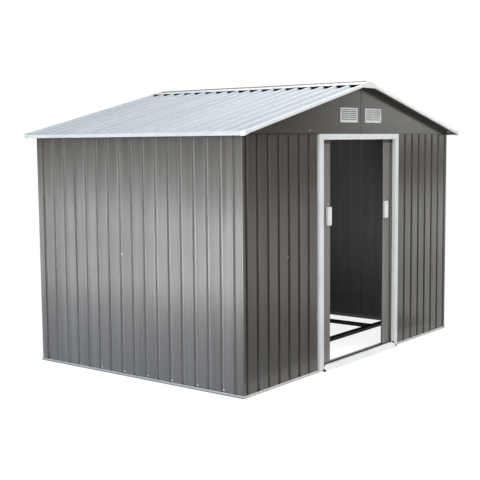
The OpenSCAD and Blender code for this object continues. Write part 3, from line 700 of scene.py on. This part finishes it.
def world_light(level):
    """Soft light from all round, and white for the rays that show the background."""
    world = bpy.data.worlds.new("studio")
    bpy.context.scene.world = world
    world.use_nodes = True
    tree = world.node_tree
    tree.nodes.clear()
    sky = add(tree, "ShaderNodeBackground", {"Color": (0.97, 0.985, 1.0, 1), "Strength": level})
    white = add(tree, "ShaderNodeBackground", {"Color": (1, 1, 1, 1), "Strength": 1.0})
    mixed = add(tree, "ShaderNodeMixShader", {0: seen_rays(tree), 1: sky.outputs[0], 2: white.outputs[0]})
    tree.links.new(mixed.outputs[0], add(tree, "ShaderNodeOutputWorld").inputs["Surface"])


# Lamps and boards
WHITE, COOL, COOLER, BLUE = (1, 1, 1), (0.95, 0.985, 1), (0.92, 0.96, 1), (0.30, 0.56, 1)
BAND_TINT = (0.90, 0.95, 1)
SIDE_X = -3.97    # plane of the lamps and the board beside the left wall
LOW_Z = 0.004     # height of what lies on the floor


def aim(made, place, way, front):
    """Puts a lamp or a board at its place, with its front turned the given way."""
    bpy.context.scene.collection.objects.link(made)
    made.location = place
    made.rotation_euler = Vector(way).to_track_quat(front, "Y").to_euler()
    made.visible_camera = False


def softbox(name, place, way, width, height, power, tint, sheen):
    """A soft lamp, which shows in glossy surfaces for sheen, and otherwise gives plain light."""
    bulb = bpy.data.lights.new(name, "AREA")
    bulb.shape, bulb.size, bulb.size_y, bulb.energy, bulb.color = "RECTANGLE", width, height, power, tint
    made = bpy.data.objects.new(name, bulb)
    aim(made, place, way, "-Z")
    made.visible_diffuse, made.visible_glossy = not sheen, sheen


def lamp(name, place, target, width, height, power, tint=WHITE):
    """A soft lamp of plain light, turned towards a target."""
    softbox(name, place, Vector(target) - Vector(place), width, height, power, tint, False)


def card(name, place, way, width, height, power, tint=WHITE):
    """A bright card that only glossy surfaces show, turned the given way."""
    softbox(name, place, way, width, height, power, tint, True)


def flag(name, place, way, width, height, coat):
    """A board beside the set that only glossy surfaces show, turned the given way."""
    mesh = sheet_of(name, width / 2, height / 2, 0)
    mesh.materials.append(coat)
    made = bpy.data.objects.new(name, mesh)
    aim(made, place, way, "Z")
    made.visible_diffuse = made.visible_shadow = False


stage_floor()
world_light(0.42)
flag("flag_left", (-4.6, -2.7, 0.95), X, 2.6, 1.9, UNDERSIDE)
flag("flag_front", (1.8, -3.3, 1.95), Y, 2.5, 2.1, UNDERSIDE)
flag("flag_right", (5.0, -3.3, 1.25), Y, 4.0, 0.55, UNDERSIDE)
flag("flag_rear", (-1.1, 3.2, 3.4), -Y, 4.0, 3.2, UNDERSIDE)
flag("flag_floor", (-2.8, -2.8, LOW_Z), Z, 3.6, 3.4, UNDERSIDE)
flag("flag_step", (0.3, -2.8, LOW_Z), Z, 2.6, 3.4, BOARD)
flag("flag_eave", (SIDE_X, 2.6, 1.85), X, 4.6, 0.9, UNDERSIDE)
lamp("top", (0.5, -1.6, 4.2), (0, -0.6, 1.0), 1.6, 1.6, 60)
lamp("key", (3.0, -5.0, 3.2), (0, -0.5, 0.9), 2.4, 2.4, 72)
lamp("door_light", (-3.5, -3.2, 1.2), (0.45, -0.9, 0.9), 0.8, 1.2, 20)
lamp("fill", (-5.8, -2.2, 2.8), (-0.5, -0.2, 0.9), 2.6, 1.8, 122, COOL)
lamp("side_light", (SIDE_X, 1.2, 0.5), (-1.33, 0.6, 0.9), 4.2, 0.9, 45, COOL)
card("side_sheet", (SIDE_X, 2.6, 0.75), X, 4.2, 1.3, 20, COOLER)
card("side_band", (SIDE_X, 2.6, 0.42), X, 4.5, 0.26, 184, BAND_TINT)
card("side_floor", (-2.3, 0.8, LOW_Z), Z, 1.9, 4.2, 25, BLUE)
card("groove_band", (SIDE_X, -0.6, 0.7), X, 1.9, 1.4, 165)
card("groove_card", (-2.05, -4.0, 0.6), Y, 1.2, 1.2, 35)
card("front_card", (6.1, -3.24, 0.40), Y, 2.2, 0.8, 5)
card("gable_card", (6.0, -3.24, 1.95), Y, 3.6, 0.8, 9)
card("roof_card", (5.4, 3.0, 6.0), (-5.4, -3.0, -4.2), 4.5, 4.5, 60)

# Camera, from the corners of the shed in the photograph
EYE = Vector((-5.6972, -4.2477, 1.5104))
TILT, HEADING, ROLL = (math.radians(a) for a in (-5.896, 52.2756, -0.5289))
FOCAL = 961.09 / 480   # focal length over the width of the frame
SENSOR = 36            # width of the sensor in millimetres
camera = bpy.data.objects.new("camera", bpy.data.cameras.new("camera"))
bpy.context.scene.collection.objects.link(camera)
bpy.context.scene.camera = camera
camera.data.sensor_width = SENSOR
camera.data.lens = SENSOR * FOCAL
ahead = Vector((math.sin(HEADING) * math.cos(TILT), math.cos(HEADING) * math.cos(TILT), math.sin(TILT)))
level = Vector((math.cos(HEADING), -math.sin(HEADING), 0))
upright = level.cross(ahead)
right = math.cos(ROLL) * level + math.sin(ROLL) * upright
up = math.cos(ROLL) * upright - math.sin(ROLL) * level
camera.matrix_world = Matrix.Translation(EYE) @ Matrix((right, up, -ahead)).transposed().to_4x4()
bpy.context.scene.view_settings.view_transform = "Standard"
